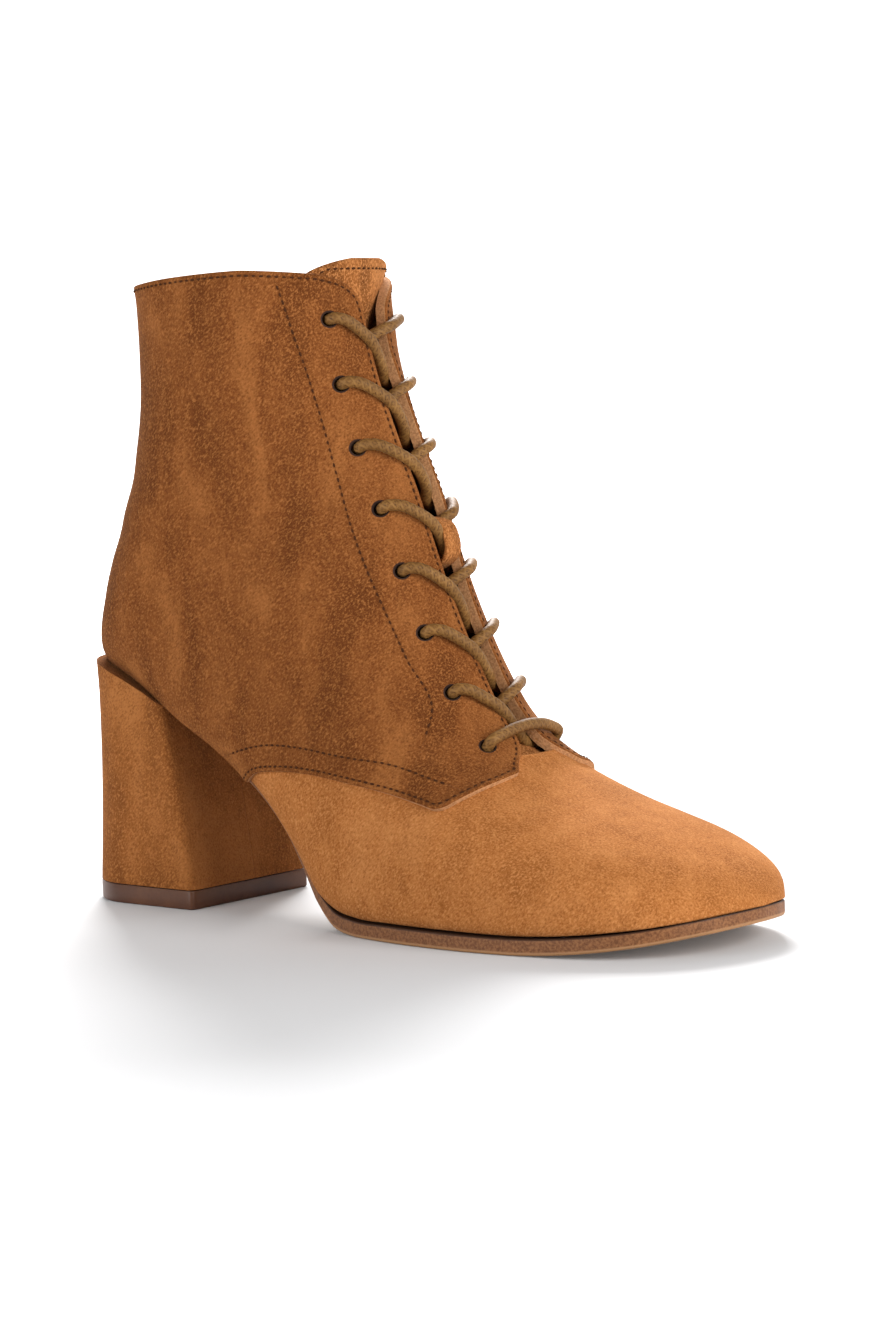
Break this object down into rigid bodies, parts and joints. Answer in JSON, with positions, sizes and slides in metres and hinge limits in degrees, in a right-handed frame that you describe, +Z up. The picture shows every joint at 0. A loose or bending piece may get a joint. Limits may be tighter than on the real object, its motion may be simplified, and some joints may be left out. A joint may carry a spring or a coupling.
{
  "type": "lace-up ankle boot",
  "caption": "Right lace-up ankle boot in suede with a covered block heel, open collar and throat, tongue, round lace and thin sole.",
  "frame": {"origin": "centre of the heel's resting face, on the floor", "axes": "+X from the heel to the toe, -Y to the outer side of the foot, +Z up"},
  "size_m": [0.2333, 0.0823, 0.1916],
  "materials": {
    "suede": "matte napped suede",
    "lining": "smooth lining leather",
    "sole": "satin edge dressing",
    "rubber": "satin",
    "cord": "braided waxed cord"
  },
  "bodies": {
    "root": {"upper": "suede", "tongue": "suede", "tongue_loop": "suede", "insole": "lining", "heel_block": "suede", "outsole": "sole", "top_lift": "rubber", "lace_bar": "cord", "lace_crossing_2": "cord", "lace_crossing_3": "cord", "lace_crossing_4": "cord", "lace_crossing_5": "cord", "lace_crossing_6": "cord", "lace_crossing_7": "cord", "lace_crossing_8": "cord"}
  },
  "joints": []
}
